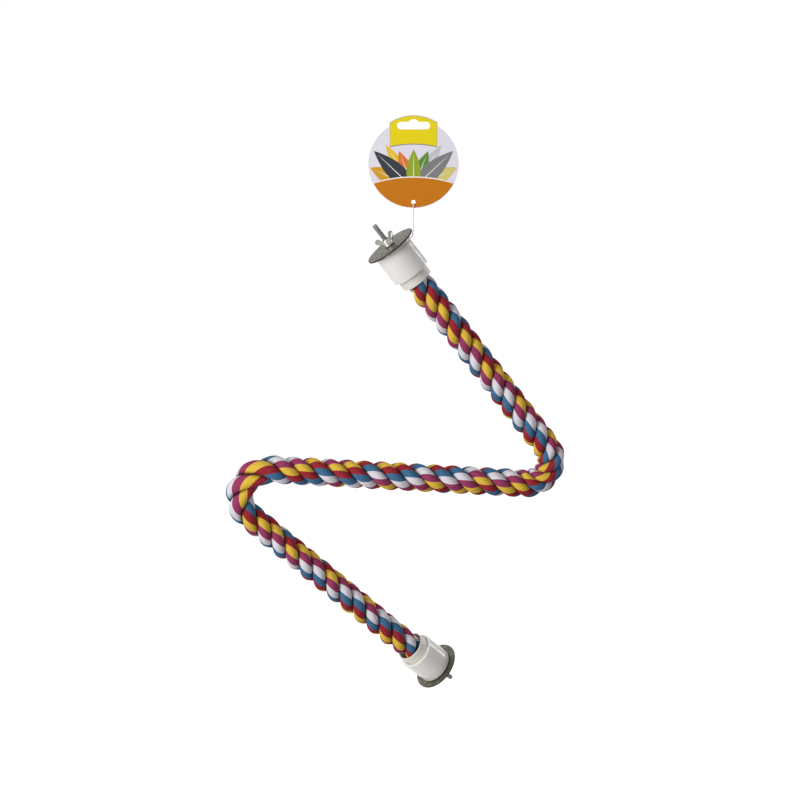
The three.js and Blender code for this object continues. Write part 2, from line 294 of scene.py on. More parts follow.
# Textures: what a ramp takes as the least and most of a noise, and stretches along and across a yarn
NOISE_LOW = 0.3
NOISE_HIGH = 0.7
FIBRE_STRETCH = (450, 5, 1)
PLY_STRETCH = (240, 1.1, 1)
PLY_WAVER = 1.5
YARN_LINE_POWER = 3.0
FLECK_POWER = 8.0
MIX_FIRST, MIX_SECOND, MIX_RESULT = 6, 7, 2  # a mix node's sockets for colours


# Joints of the frame
JOINTS = {joint["name"]: joint for joint in frame["joints"]}


def unit(vectors):
    """Vectors of the same directions and of length one."""
    return vectors / np.maximum(np.linalg.norm(vectors, axis=-1, keepdims=True), TINY)


def joint_place(name):
    return np.array(JOINTS[name]["pos_m"], float)


def joint_axis(name):
    return unit(np.array(JOINTS[name]["axis"], float))


def new_object(name, data):
    """An object of the scene that holds a mesh or other data."""
    obj = bpy.data.objects.new(name, data)
    bpy.context.scene.collection.objects.link(obj)
    return obj


def make_camera():
    data = bpy.data.cameras.new("camera")
    data.lens = CAMERA_LENS
    data.sensor_width = CAMERA_SENSOR
    camera = new_object("camera", data)
    back = Vector((0, -math.cos(CAMERA_ELEVATION), math.sin(CAMERA_ELEVATION)))
    camera.location = CAMERA_TARGET + back * CAMERA_DISTANCE
    camera.rotation_euler = (-back).to_track_quat("-Z", "Y").to_euler()
    bpy.context.scene.camera = camera


make_camera()


# Materials
def linear(red, green, blue):
    """A colour given as it looks on screen, from 0 to 255, as Blender's linear values."""
    values = []
    for value in (red, green, blue):
        share = value / 255
        values.append(share / 12.92 if share <= 0.04045 else ((share + 0.055) / 1.055) ** 2.4)
    return (*values, 1.0)


def darker(colour, keep):
    return (*(value * keep for value in colour[:3]), 1.0)


def lighter(colour, lift):
    return (*(value + (1 - value) * lift for value in colour[:3]), 1.0)


class Finish:
    """A node material with short ways to add what its surface needs."""

    def __init__(self, name, roughness, metallic=0.0):
        self.material = bpy.data.materials.new(name)
        self.material.use_nodes = True
        self.tree = self.material.node_tree
        self.shader = self.tree.nodes["Principled BSDF"]
        self.constant("Roughness", roughness)
        self.constant("Metallic", metallic)

    def constant(self, socket, value):
        """Sets what is the same all over the surface."""
        self.shader.inputs[socket].default_value = value

    def node(self, kind, sockets=None, **settings):
        """A new node with these settings and these values on its sockets."""
        node = self.tree.nodes.new(kind)
        for key, value in settings.items():
            setattr(node, key, value)
        for socket, value in (sockets or {}).items():
            node.inputs[socket].default_value = value
        return node

    def link(self, source, target):
        self.tree.links.new(source, target)

    def coordinates(self, kind, scale):
        mapping = self.node("ShaderNodeMapping", {"Scale": scale})
        self.link(self.node("ShaderNodeTexCoord").outputs[kind], mapping.inputs["Vector"])
        return mapping.outputs["Vector"]

    def noise(self, scale, detail, kind="Object", stretch=(1, 1, 1)):
        texture = self.node("ShaderNodeTexNoise", {"Scale": scale, "Detail": detail})
        self.link(self.coordinates(kind, stretch), texture.inputs["Vector"])
        return texture.outputs["Fac"]

    def plies(self):
        """Slanting bands across the yarns, from a map that runs along them in u and counts them in v."""
        wave = self.node("ShaderNodeTexWave", {"Scale": 1.0, "Distortion": PLY_WAVER},
                         wave_type="BANDS", bands_direction="DIAGONAL")
        self.link(self.coordinates("UV", PLY_STRETCH), wave.inputs["Vector"])
        return wave.outputs["Fac"]

    def between_yarns(self):
        """One on the lines between yarns, nothing on their crests, from the same map."""
        split = self.node("ShaderNodeSeparateXYZ")
        self.link(self.node("ShaderNodeTexCoord").outputs["UV"], split.inputs[0])
        place = self.math("SUBTRACT", self.math("FRACT", split.outputs["Y"]), 0.5)
        return self.math("POWER", self.math("MULTIPLY", self.math("ABSOLUTE", place), 2.0), YARN_LINE_POWER)

    def stored(self, name):
        """A value that the mesh holds at each point, or nothing where it holds none."""
        return self.node("ShaderNodeAttribute", attribute_name=name).outputs["Fac"]

    def ramp(self, source, low, high):
        limits = {"From Min": NOISE_LOW, "From Max": NOISE_HIGH, "To Min": low, "To Max": high}
        ramp = self.node("ShaderNodeMapRange", limits)
        self.link(source, ramp.inputs["Value"])
        return ramp.outputs["Result"]

    def mix(self, share, first, second):
        """A colour between two others: each is four numbers or another node's output."""
        mix = self.node("ShaderNodeMix", data_type="RGBA")
        self.link(share, mix.inputs["Factor"])
        for socket, colour in ((mix.inputs[MIX_FIRST], first), (mix.inputs[MIX_SECOND], second)):
            if isinstance(colour, tuple):
                socket.default_value = colour
            else:
                self.link(colour, socket)
        return mix.outputs[MIX_RESULT]

    def math(self, operation, first, second=0.0):
        result = self.node("ShaderNodeMath", {1: second}, operation=operation)
        self.link(first, result.inputs[0])
        return result.outputs[0]

    def colour(self, source):
        self.link(source, self.shader.inputs["Base Color"])

    def rough(self, source):
        self.link(source, self.shader.inputs["Roughness"])

    def bump(self, source, distance, strength):
        bump = self.node("ShaderNodeBump", {"Distance": distance, "Strength": strength})
        self.link(source, bump.inputs["Height"])
        earlier = self.shader.inputs["Normal"].links
        if earlier:
            self.link(earlier[0].from_socket, bump.inputs["Normal"])
        self.link(bump.outputs["Normal"], self.shader.inputs["Normal"])


def cotton(name, colour):
    """Dyed cotton yarn, with painted shade between the yarns, between the plies and where the strands meet.
    """
    finish = Finish(name, roughness=0.9)
    fibres = finish.noise(scale=1.0, detail=2.0, kind="UV", stretch=FIBRE_STRETCH)
    patches = finish.noise(scale=70.0, detail=3.0)
    speckle = finish.noise(scale=900.0, detail=2.0)
    plies = finish.plies()
    shade, light = darker(colour, keep=0.8), lighter(colour, lift=0.04)
    tone = finish.mix(finish.ramp(fibres, low=0.0, high=1.0), shade, light)
    tone = finish.mix(finish.ramp(patches, low=0.0, high=0.3), tone, darker(colour, keep=0.75))
    tone = finish.mix(finish.ramp(speckle, low=0.0, high=0.14), tone, lighter(colour, lift=0.3))
    # Painted shade in the lines between the yarns
    tone = finish.mix(finish.between_yarns(), tone, darker(colour, keep=0.5))
    # Painted shade in the slanting furrows between the plies
    tone = finish.mix(finish.ramp(plies, low=0.32, high=0.0), tone, darker(colour, keep=0.4))
    # Painted shade where the strands meet, from the share stored on the mesh
    finish.colour(finish.mix(finish.stored("groove_shade"), tone, darker(colour, keep=0.22)))
    finish.constant("Sheen Weight", 0.03)
    finish.constant("Sheen Roughness", 0.5)
    finish.constant("Specular IOR Level", 0.05)
    finish.bump(plies, distance=0.12 * MM, strength=0.7)
    finish.bump(speckle, distance=0.15 * MM, strength=0.5)
    return finish.material


def moulded_plastic(name, colour, roughness):
    """Plastic with faint ripples and scuffs."""
    finish = Finish(name, roughness)
    patches = finish.noise(scale=60.0, detail=4.0)
    scuffs = finish.noise(scale=420.0, detail=3.0, stretch=(1, 1, 0.25))
    ripples = finish.noise(scale=90.0, detail=2.0)
    finish.colour(finish.mix(finish.ramp(patches, low=0.0, high=0.5), colour, darker(colour, keep=0.9)))
    finish.rough(finish.ramp(scuffs, low=roughness - 0.02, high=roughness + 0.08))
    finish.bump(ripples, distance=0.05 * MM, strength=0.25)
    return finish.material


def zinc(name, colour, roughness, grain, bloom_scale=850.0):
    """Zinc plated steel, bright or dull with a grainy bloom, and with painted shade in the hollows of its
    mesh.
    """
    finish = Finish(name, roughness, metallic=1.0)
    bloom = finish.noise(bloom_scale, detail=3.0)
    patches = finish.noise(scale=130.0, detail=4.0)
    pits = finish.noise(scale=700.0, detail=3.0)
    tone = finish.mix(finish.ramp(bloom, low=0.0, high=grain), colour, darker(colour, keep=0.32))
    tone = finish.mix(finish.ramp(patches, low=0.0, high=0.3 * grain), tone, lighter(colour, lift=0.06))
    # Painted shade in the thread's roots, from the depth stored on the mesh
    finish.colour(finish.mix(finish.stored("hollow"), tone, darker(colour, keep=0.3)))
    finish.rough(finish.ramp(bloom, low=roughness - 0.1, high=roughness + 0.14))
    finish.bump(pits, distance=0.04 * MM, strength=grain)
    return finish.material


def printed(name, colour):
    """Ink on varnished card."""
    finish = Finish(name, roughness=0.38)
    grain = finish.noise(scale=900.0, detail=2.0)
    ripples = finish.noise(scale=260.0, detail=2.0)
    finish.colour(finish.mix(finish.ramp(grain, low=0.0, high=0.3), colour, darker(colour, keep=0.88)))
    finish.constant("Specular IOR Level", 0.2)
    finish.constant("Coat Weight", 0.05)
    finish.constant("Coat Roughness", 0.25)
    finish.bump(ripples, distance=0.02 * MM, strength=0.3)
    return finish.material


def raw_card(name, colour):
    """Uncoated card: pressed fibres with a few darker flecks."""
    finish = Finish(name, roughness=0.92)
    fibres = finish.noise(scale=420.0, detail=5.0, stretch=(1, 1, 0.4))
    flecks = finish.noise(scale=1300.0, detail=1.0)
    tone = finish.mix(finish.ramp(fibres, low=0.0, high=0.7), colour, darker(colour, keep=0.9))
    fleck = finish.math("POWER", finish.ramp(flecks, low=0.0, high=0.9), FLECK_POWER)
    finish.colour(finish.mix(fleck, tone, darker(colour, keep=0.6)))
    finish.constant("Specular IOR Level", 0.15)
    finish.bump(fibres, distance=0.04 * MM, strength=0.6)
    return finish.material


def twisted_thread(name, colour):
    finish = Finish(name, roughness=0.85)
    plies = finish.noise(scale=1800.0, detail=2.0)
    finish.colour(finish.mix(finish.ramp(plies, low=0.0, high=0.6), colour, darker(colour, keep=0.75)))
    finish.bump(plies, distance=0.1 * MM, strength=0.6)
    return finish.material


COTTON = [
    cotton("cotton_berry", linear(170, 50, 104)),
    cotton("cotton_yellow", linear(254, 210, 62)),
    cotton("cotton_red", linear(171, 9, 36)),
    cotton("cotton_blue", linear(60, 118, 163)),
    cotton("cotton_white", linear(252, 246, 255)),
]
CAP_PLASTIC = moulded_plastic("cap_plastic", linear(230, 226, 223), roughness=0.18)
SLEEVE_PLASTIC = moulded_plastic("sleeve_plastic", linear(224, 219, 210), roughness=0.42)
BRIGHT_ZINC = zinc("bright_zinc", linear(172, 172, 168), roughness=0.24, grain=0.3)
SCREW_ZINC = zinc("screw_zinc", linear(188, 187, 181), roughness=0.34, grain=0.3)
DULL_ZINC = zinc("dull_zinc", linear(125, 121, 107), roughness=0.42, grain=1.0, bloom_scale=330.0)
# Painted shade and painted dark reflection for the washers' rims
PAINTED_EDGE_SHADE = zinc("painted_edge_shade", linear(58, 55, 48), roughness=0.5, grain=0.5)
CORE_STEEL = zinc("core_steel", linear(120, 120, 122), roughness=0.4, grain=0.4)
CARD_WHITE = printed("card_white", linear(232, 228, 238))
CARD_BACK = raw_card("card_back", linear(226, 221, 211))
INK_YELLOW = printed("ink_yellow", linear(238, 216, 22))
INK_ORANGE = printed("ink_orange", linear(202, 120, 16))
INK_WHITE = printed("ink_white", linear(248, 244, 240))
INK_GREY = printed("ink_grey", linear(138, 134, 128))
THREAD_WHITE = twisted_thread("thread_white", linear(236, 234, 228))


# Mesh helpers
def mesh_object(name, points, faces, materials, face_material=None):
    mesh = bpy.data.meshes.new(name)
    mesh.from_pydata([tuple(point) for point in points], [], [tuple(face) for face in faces])
    for material in materials:
        mesh.materials.append(material)
    if face_material is not None:
        mesh.polygons.foreach_set("material_index", np.asarray(face_material, np.int32))
    mesh.polygons.foreach_set("use_smooth", np.ones(len(mesh.polygons), bool))
    mesh.update()
    return new_object(name, mesh)


def final_mesh(obj):
    """The mesh that an object shows, its modifiers applied. The object itself goes."""
    graph = bpy.context.evaluated_depsgraph_get()
    mesh = bpy.data.meshes.new_from_object(obj.evaluated_get(graph))
    bpy.data.objects.remove(obj)
    return mesh


def store_on_points(obj, name, values):
    """Keeps a number at each point of a mesh, for its material."""
    layer = obj.data.attributes.new(name, "FLOAT", "POINT")
    layer.data.foreach_set("value", np.asarray(values, np.float32))


def keep_edges_crisp(obj):
    obj.data.set_sharp_from_angle(angle=CRISP_EDGE)


def joined(meshes):
    """The points and faces of several meshes as those of one."""
    points = []
    faces = []
    for more_points, more_faces in meshes:
        start = len(points)
        faces += [tuple(index + start for index in face) for face in more_faces]
        points += list(more_points)
    return points, faces


def tube_faces(rings, count, flip=False):
    """Faces between rings that have this count of points. Flipped ones look the other way."""
    faces = []
    for i in range(rings - 1):
        near, far = i * count, (i + 1) * count
        for j in range(count):
            k = (j + 1) % count
            faces.append((near + j, far + j, far + k, near + k) if flip
                         else (near + j, near + k, far + k, far + j))
    return faces


def closed_tube(rings, count, flip=False):
    """The same, with a flat face across either end."""
    first = tuple(range(count))
    last = tuple(range((rings - 1) * count, rings * count))
    return tube_faces(rings, count, flip) + ([first, last[::-1]] if flip else [last, first[::-1]])


def arc_points(centre, radius, start, end, steps):
    """Points of a flat arc, angles in degrees."""
    angles = np.radians(np.linspace(start, end, steps + 1))
    x, y = centre
    return [(x + radius * math.cos(angle), y + radius * math.sin(angle)) for angle in angles]


def polar(radius, angle, height):
    return radius * math.cos(angle), radius * math.sin(angle), height


def rounded(profile):
    """A closed outline whose corners are rounded: each corner is x, y and its radius."""
    points = []
    for i, (x, y, radius) in enumerate(profile):
        here = np.array((x, y))
        if radius == 0:
            points.append(here)
            continue
        before = unit(np.array(profile[i - 1][:2]) - here)
        after = unit(np.array(profile[(i + 1) % len(profile)][:2]) - here)
        half = math.acos(float(np.clip(before @ after, -1, 1))) / 2
        reach = radius / math.tan(half)
        centre = here + unit(before + after) * radius / math.sin(half)
        first = here + before * reach - centre
        last = here + after * reach - centre
        across = np.array((-first[1], first[0]))
        turn = math.atan2(across @ last, first @ last)
        for angle in np.linspace(0, turn, CORNER_STEPS + 1):
            points.append(centre + math.cos(angle) * first + math.sin(angle) * across)
    return points


def lathe(outline, segments):
    """Points and faces of a closed outline in radius and height, carried round the Z axis."""
    angles = [FULL_TURN * i / segments for i in range(segments)]
    points = [polar(radius, angle, height) for angle in angles for radius, height in outline]
    faces = tube_faces(segments + 1, len(outline), flip=True)
    return points, [tuple(index % len(points) for index in face) for face in faces]


def turned(name, profile, place, material):
    """A turned piece with rounded corners, round the Z axis of its place."""
    points, faces = lathe(rounded(profile), ROUND_SEGMENTS)
    obj = mesh_object(name, [place @ Vector(point) for point in points], faces, [material])
    keep_edges_crisp(obj)
    return obj


def end_place(end):
    """The frame of an end fitting: Z out along the bolt, zero on the cap's end face, X across."""
    out = Vector(joint_axis(f"{end}_nut_turn"))
    across = Vector((out.z, 0, -out.x)).normalized()
    side = out.cross(across)
    place = Matrix((across, side, out)).transposed().to_4x4()
    place.translation = Vector(joint_place(f"{end}_nut_turn"))
    return place


# Thread
def thread_route():
    points = [Vector(point) * MM for point in THREAD_POINTS]
    place = end_place("upper")
    for degrees in THREAD_RING_DEGREES:
        angle = math.radians(degrees)
        near = (1 + math.cos(angle)) / 2
        below = THREAD_RING_FAR + (THREAD_RING_NEAR - THREAD_RING_FAR) * near
        ring = Vector((math.cos(angle), math.sin(angle), 0)) * THREAD_RING_RADIUS
        points.append(place @ (ring - Vector((0, 0, below))))
    return points


def make_thread():
    points = thread_route()
    curve = bpy.data.curves.new("tag_thread_twist", "CURVE")
    curve.dimensions = "3D"
    curve.bevel_depth = THREAD_DIAMETER / 2
    curve.bevel_resolution = THREAD_ROUND_STEPS
    curve.resolution_u = THREAD_CURVE_STEPS
    curve.use_fill_caps = True
    spline = curve.splines.new("BEZIER")
    spline.bezier_points.add(len(points) - 1)
    for knot, point in zip(spline.bezier_points, points):
        knot.co = point
        knot.handle_left_type = "AUTO"
        knot.handle_right_type = "AUTO"
    curve.materials.append(THREAD_WHITE)
    thread = new_object("tag_thread_twist", curve)
    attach(thread, "upper_end")
    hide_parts("tag_thread")


make_thread()


# Route of the rope, from the upper cap to the lower one
def bend(start, way, end):
    """Points of the round bend that leaves start along way and reaches end, and the way it arrives."""
    chord = end - start
    towards = unit(chord)
    half = math.acos(way @ towards)
    radius = np.linalg.norm(chord) / 2 / math.sin(half)
    side = unit(towards - (towards @ way) * way)
    angle = np.linspace(0, 2 * half, BEND_STEPS)[:, None]
    points = start + radius * (np.sin(angle) * way + (1 - np.cos(angle)) * side)
    return points, 2 * (way @ towards) * towards - way


def rope_route():
    upper_face, upper_out = joint_place("upper_nut_turn"), joint_axis("upper_nut_turn")
    lower_face, lower_out = joint_place("lower_nut_turn"), joint_axis("lower_nut_turn")
    upper_elbow, middle_way = bend(joint_place("upper_elbow_bend_1"), -upper_out,
                                   joint_place("upper_elbow_bend_4"))
    lower_elbow, lower_way = bend(joint_place("lower_elbow_bend_1"), middle_way,
                                  joint_place("lower_elbow_bend_4"))
    lines = np.stack([lower_way, lower_out], 1)
    run = np.linalg.lstsq(lines, lower_face - lower_elbow[-1], rcond=None)[0][0]
    corner = lower_elbow[-1] + lower_way * run
    reach = LOWER_NECK_RADIUS * math.tan(math.acos(lower_way @ lower_out) / 2)
    lower_neck, _ = bend(corner - lower_way * reach, lower_way, corner + lower_out * reach)
    upper_end = upper_face - upper_out * ROPE_END_DEPTH
    lower_end = lower_face - lower_out * ROPE_END_DEPTH
    return np.concatenate([[upper_end], upper_elbow, lower_elbow, lower_neck, [lower_end]])


class Rope:
    """The rope's middle line, with a frame that doesn't twist, at even stations."""

    def __init__(self):
        knots = rope_route()
        distance = np.concatenate([[0], np.cumsum(np.linalg.norm(np.diff(knots, axis=0), axis=1))])
        self.length = distance[-1]
        self.stations = np.linspace(0, self.length, round(self.length / RING_STEP) + 1)
        self.middle = np.stack([np.interp(self.stations, distance, values) for values in knots.T], 1)
        self.way = unit(np.gradient(self.middle, axis=0))
        self.first = np.zeros_like(self.middle)
        across = np.cross(self.way[0], (0, 1, 0))
        for i, heading in enumerate(self.way):
            across = unit(across - (across @ heading) * heading)
            self.first[i] = across
        self.second = np.cross(self.way, self.first)

    def station(self, place):
        """The index of the station nearest to a place."""
        return int(np.linalg.norm(self.middle - place, axis=1).argmin())


rope = Rope()


# Strands of the rope
def smoothed(values, reach):
    """Values at the rope's stations, each the mean of those within a reach."""
    count = round(reach / RING_STEP / 2)
    padded = np.pad(values, count, mode="edge")
    return np.convolve(padded, np.full(2 * count + 1, 1 / (2 * count + 1)), mode="valid")


def eased(share):
    """A share from 0 to 1 that starts and stops gently."""
    share = np.clip(share, 0, 1)
    return share * share * (3 - 2 * share)


def lay_turns():
    """How many turns the strands have made at each station, and by how many colours they have rolled."""
    hinges = [f"{elbow}_elbow_bend_{number}" for elbow in ("upper", "lower") for number in (1, 4)]
    marks = [rope.stations[rope.station(joint_place(hinge))] for hinge in hinges]
    lays = np.array([UPPER_LAY, UPPER_ELBOW_LAY, MIDDLE_LAY, LOWER_ELBOW_LAY, LOWER_LAY])
    rate = smoothed(1 / lays[np.searchsorted(marks, rope.stations)], LAY_EASE)
    steps = (rate[1:] + rate[:-1]) / 2 * np.diff(rope.stations)
    turns = np.concatenate([[0], np.cumsum(steps)])
    rolled = np.interp(rope.stations, marks[2:], [0, LOWER_ELBOW_ROLL])
    return turns, smoothed(rolled, LAY_EASE)


def squeeze():
    """The rope's width at each station as a share of its free width: less where a sleeve presses it."""
    mouth = CAP_LENGTH + SLEEVE_REACH - ROPE_END_DEPTH
    inside = np.minimum(rope.stations - mouth, rope.length - mouth - rope.stations)
    return MOUTH_SQUEEZE + (1 - MOUTH_SQUEEZE) * eased(inside / MOUTH_EASE)


class Strand:
    """One strand: its middle line and, at each of the rope's stations, a ring of yarns."""

    def __init__(self, number):
        turns, rolled = lay_turns()
        angle = LAY_START + FULL_TURN * (turns + number / STRANDS)
        out = np.cos(angle)[:, None] * rope.first + np.sin(angle)[:, None] * rope.second
        width = squeeze()[:, None]
        self.middle = rope.middle + STRAND_OFFSET * width * out
        way = unit(np.gradient(self.middle, axis=0))
        up = unit(out - (out * way).sum(1)[:, None] * way)
        across = np.cross(way, up)
        lean = smoothed((way * rope.way).sum(1), STRAND_EASE)[:, None]
        half_width = STRAND_FILL * math.pi * STRAND_OFFSET / STRANDS * lean

        share = np.arange(RING_POINTS) / RING_POINTS
        crest = STRAND_COLOURS[number] - COLOURS_PER_LAY * turns - rolled
        yarn_angle = FULL_TURN * (crest[:, None] - COLOURS * share) / COLOURS
        around = yarn_angle + YARN_CROWD * np.sin(yarn_angle)
        ridge = YARN_RIDGE * (np.abs(np.sin(math.pi * COLOURS * YARNS_PER_COLOUR * share)) - YARN_SINK)
        bulge = BUNDLE_BULGE * (np.abs(np.sin(math.pi * COLOURS * share)) - BUNDLE_SINK)
        relief = INNER_RELIEF + (1 - INNER_RELIEF) * (1 + np.cos(around)) / 2
        proud = (ridge + bulge) * relief
        height = np.where(np.cos(around) > 0, STRAND_OUT, STRAND_IN)
        rise = width * (height + proud) * np.cos(around)
        spread = width * (half_width + proud) * np.sin(around)
        self.rings = (self.middle[:, None] + rise[..., None] * up[:, None]
                      + spread[..., None] * across[:, None])
        # painted shade: how dark each yarn gets where it turns in towards the neighbouring strand
        self.groove_shades = eased((GROOVE_SHADE_START - np.cos(around)) / (GROOVE_SHADE_START - GROOVE_SHADE_FULL))
        self.normals = self.ring_normals()

    def ring_normals(self):
        """Smooth normals of the whole strand, so that no seam shows where it is cut into lengths."""
        along = np.gradient(self.rings, axis=0)
        around = np.roll(self.rings, -1, axis=1) - np.roll(self.rings, 1, axis=1)
        return unit(np.cross(along, around))

    def length(self, first, last):
        """Its mesh between two stations, closed at both ends, with a tongue under the next length."""
        body = list(range(first, last + 1))
        final = min(last + round(TONGUE / RING_STEP), len(self.rings) - 1)
        tongue = list(range(last, final + 1)) if final > last else []
        stations = body + tongue
        middle = self.middle[stations][:, None]
        size = np.array([1] * len(body) + [TONGUE_SHRINK] * len(tongue))[:, None, None]
        rings = middle + (self.rings[stations] - middle) * size
        ends = self.middle[[first, stations[-1]]]
        end_normals = [-rope.way[first], rope.way[stations[-1]]]
        faces = tube_faces(len(stations), RING_POINTS, flip=True)
        colours = [j // POINTS_PER_COLOUR for j in range(RING_POINTS)] * (len(stations) - 1)
        maps = self.yarn_maps(stations)
        # A fan of triangles closes either end
        hub = len(stations) * RING_POINTS
        last_ring = hub - RING_POINTS
        for j in range(RING_POINTS):
            k = (j + 1) % RING_POINTS
            faces += [(j, k, hub), (last_ring + j, hub + 1, last_ring + k)]
            colours += [j // POINTS_PER_COLOUR] * 2
            maps += [(0, 0)] * 6
        return {
            "points": np.concatenate([rings.reshape(-1, 3), ends]),
            "normals": np.concatenate([self.normals[stations].reshape(-1, 3), end_normals]),
            "groove_shades": np.concatenate([self.groove_shades[stations].ravel(), [0, 0]]),
            "faces": faces,
            "colours": colours,
            "maps": maps,
        }

    def yarn_maps(self, stations):
        """Where the corners of its faces lie: metres along the rope, and yarns counted round the strand."""
        maps = []
        for here, there in zip(rope.stations[stations], rope.stations[stations[1:]]):
            for j in range(RING_POINTS):
                yarn, beside = j / POINTS_PER_YARN, (j + 1) / POINTS_PER_YARN
                maps += [(here, yarn), (there, yarn), (there, beside), (here, beside)]
        return maps


ROPE_STRANDS = [Strand(number) for number in range(STRANDS)]


def rope_piece(name, first, last):
    """The strands between two stations, in one mesh."""
    lengths = [strand.length(first, last) for strand in ROPE_STRANDS]
    points, faces = joined([(length["points"], length["faces"]) for length in lengths])
    colours, maps, groove_shades, normals = (np.concatenate([length[kind] for length in lengths])
                                       for kind in ("colours", "maps", "groove_shades", "normals"))
    obj = mesh_object(name, points, faces, COTTON, colours)
    layer = obj.data.uv_layers.new(name="yarns")
    layer.data.foreach_set("uv", maps.astype(np.float32).ravel())
    # the painted shade share, for the material
    store_on_points(obj, "groove_shade", groove_shades)
    obj.data.normals_split_custom_set_from_vertices([tuple(normal) for normal in normals])
    return obj


def wire_piece(name, first, last):
    """A length of the bendable wire between two stations, closed at both ends."""
    angle = FULL_TURN * np.arange(WIRE_SIDES)[None, :, None] / WIRE_SIDES
    along = slice(first, last + 1)
    out = np.cos(angle) * rope.first[along, None] + np.sin(angle) * rope.second[along, None]
    points = (rope.middle[along, None] + WIRE_RADIUS * out).reshape(-1, 3)
    wire = mesh_object(name, points, closed_tube(last - first + 1, WIRE_SIDES), [CORE_STEEL])
    keep_edges_crisp(wire)
    return wire


def make_rope():
    """The rope and its wire, cut midway between hinges into one length round each hinge."""
    hinges = [rope.station(joint_place(hinge)) for hinge, _, _ in ROPE_BENDS]
    cuts = [(here + there) // 2 for here, there in zip(hinges, hinges[1:])]
    cuts = [0, *cuts, len(rope.stations) - 1]
    for i, (hinge, reach_before, reach_after) in enumerate(ROPE_BENDS):
        before, after = JOINTS[hinge]["parent"], JOINTS[hinge]["child"]
        nodes = NECK_NODES.get(before, [before])
        strands = rope_piece(f"strands_{nodes[-1]}", cuts[i], cuts[i + 1])
        wire = wire_piece(f"wire_{nodes[-1]}", cuts[i], cuts[i + 1])
        for piece, layer in ((strands, "rope"), (wire, "core")):
            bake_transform(piece)
            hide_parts(*(f"{layer}_{node}" for node in nodes))


make_rope()


# End fittings
def make_cap(end, place):
    mouth = -CAP_LENGTH
    cap = turned(f"{end}_cap_shell", [
        (CAP_RADIUS, mouth, CAP_RIM_ROUND), (CAP_RADIUS, 0, CAP_END_ROUND),
        (BOLT_HOLE, 0, BOLT_HOLE_ROUND), (BOLT_HOLE, -CAP_WALL, 0),
        (CAP_BORE, -CAP_WALL, CAP_FLOOR_ROUND), (CAP_BORE, mouth, CAP_MOUTH_ROUND),
    ], place, CAP_PLASTIC)
    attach(cap, f"{end}_end")
    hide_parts(f"{end}_cap")


def make_sleeve(end, place):
    mouth = -CAP_LENGTH - SLEEVE_REACH
    inner = -CAP_WALL - CLEARANCE
    sleeve = turned(f"{end}_sleeve_pipe", [
        (SLEEVE_RADIUS, mouth, SLEEVE_RIM_ROUND), (SLEEVE_RADIUS, inner, SLEEVE_END_ROUND),
        (SLEEVE_BORE, inner, SLEEVE_END_ROUND), (SLEEVE_BORE, mouth, SLEEVE_MOUTH_ROUND),
    ], place, SLEEVE_PLASTIC)
    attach(sleeve, f"{end}_end")
    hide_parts(f"{end}_sleeve")


def make_clamp_washer(end, place):
    """A large punched washer, its rim painted dark as painted shade and a painted dark reflection."""
    low = CLEARANCE
    high = low + WASHER_THICKNESS
    low_round, high_round = WASHER_HOLE_ROUNDS
    washer = turned(f"{end}_clamp_disc", [
        (WASHER_RADIUS, low, WASHER_INNER_ROUND), (WASHER_RADIUS, high, WASHER_OUTER_ROUND),
        (BOLT_HOLE, high, high_round), (BOLT_HOLE, low, low_round),
    ], place, DULL_ZINC)
    washer.data.materials.append(PAINTED_EDGE_SHADE)
    inside = place.inverted()
    # Faces on the rim get the painted shade and dark reflection
    for face in washer.data.polygons:
        if (inside @ face.center).xy.length > WASHER_RADIUS - EDGE_SHADE_WIDTH:
            face.material_index = 1
    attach(washer, f"{end}_clamp")
    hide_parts(f"{end}_clamp_washer")


def screw_mesh():
    """The bolt's rod with its screw thread, and how deep in the thread each point lies, from 0 to 1."""
    length = HEAD_TOP + BOLT_REACH
    rows = round(length / SCREW_PITCH * SCREW_ROWS)
    points = []
    hollows = []
    for i in range(rows + 1):
        height = length * i / rows - HEAD_TOP
        tip = max(0.0, 1 - (BOLT_REACH - height) / TIP_LENGTH)
        for j in range(BOLT_SIDES):
            phase = (height / SCREW_PITCH - j / BOLT_SIDES) % 1
            fall = (abs(phase - 0.5) - SCREW_CREST) / (SCREW_ROOT - SCREW_CREST)
            hollow = min(max(fall, 0.0), 1.0) if height > CLEARANCE else 0.0
            radius = BOLT_RADIUS - max(SCREW_DEPTH * hollow, TIP_DEPTH * tip)
            points.append(polar(radius, FULL_TURN * j / BOLT_SIDES, height))
            hollows.append(hollow)
    return points, closed_tube(rows + 1, BOLT_SIDES), hollows


def head_mesh():
    """The bolt's hex head, which lies inside the cap."""
    points = []
    for depth, share in HEAD_RINGS:
        radius = HEAD_WIDTH / math.sqrt(3) * share
        height = -HEAD_TOP - HEAD_HEIGHT * depth
        points += [polar(radius, FULL_TURN * (j + 0.5) / HEAD_SIDES, height) for j in range(HEAD_SIDES)]
    return points, closed_tube(len(HEAD_RINGS), HEAD_SIDES, flip=True)


def make_bolt(end, place):
    screw_points, screw_faces, hollows = screw_mesh()
    points, faces = joined([(screw_points, screw_faces), head_mesh()])
    points = [place @ Vector(point) for point in points]
    bolt = mesh_object(f"{end}_bolt_screw", points, faces, [SCREW_ZINC])
    # The thread's depth also sets the painted shade in its roots
    store_on_points(bolt, "hollow", hollows + [0.0] * (len(points) - len(hollows)))
    keep_edges_crisp(bolt)
    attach(bolt, f"{end}_end")
    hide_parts(f"{end}_bolt")


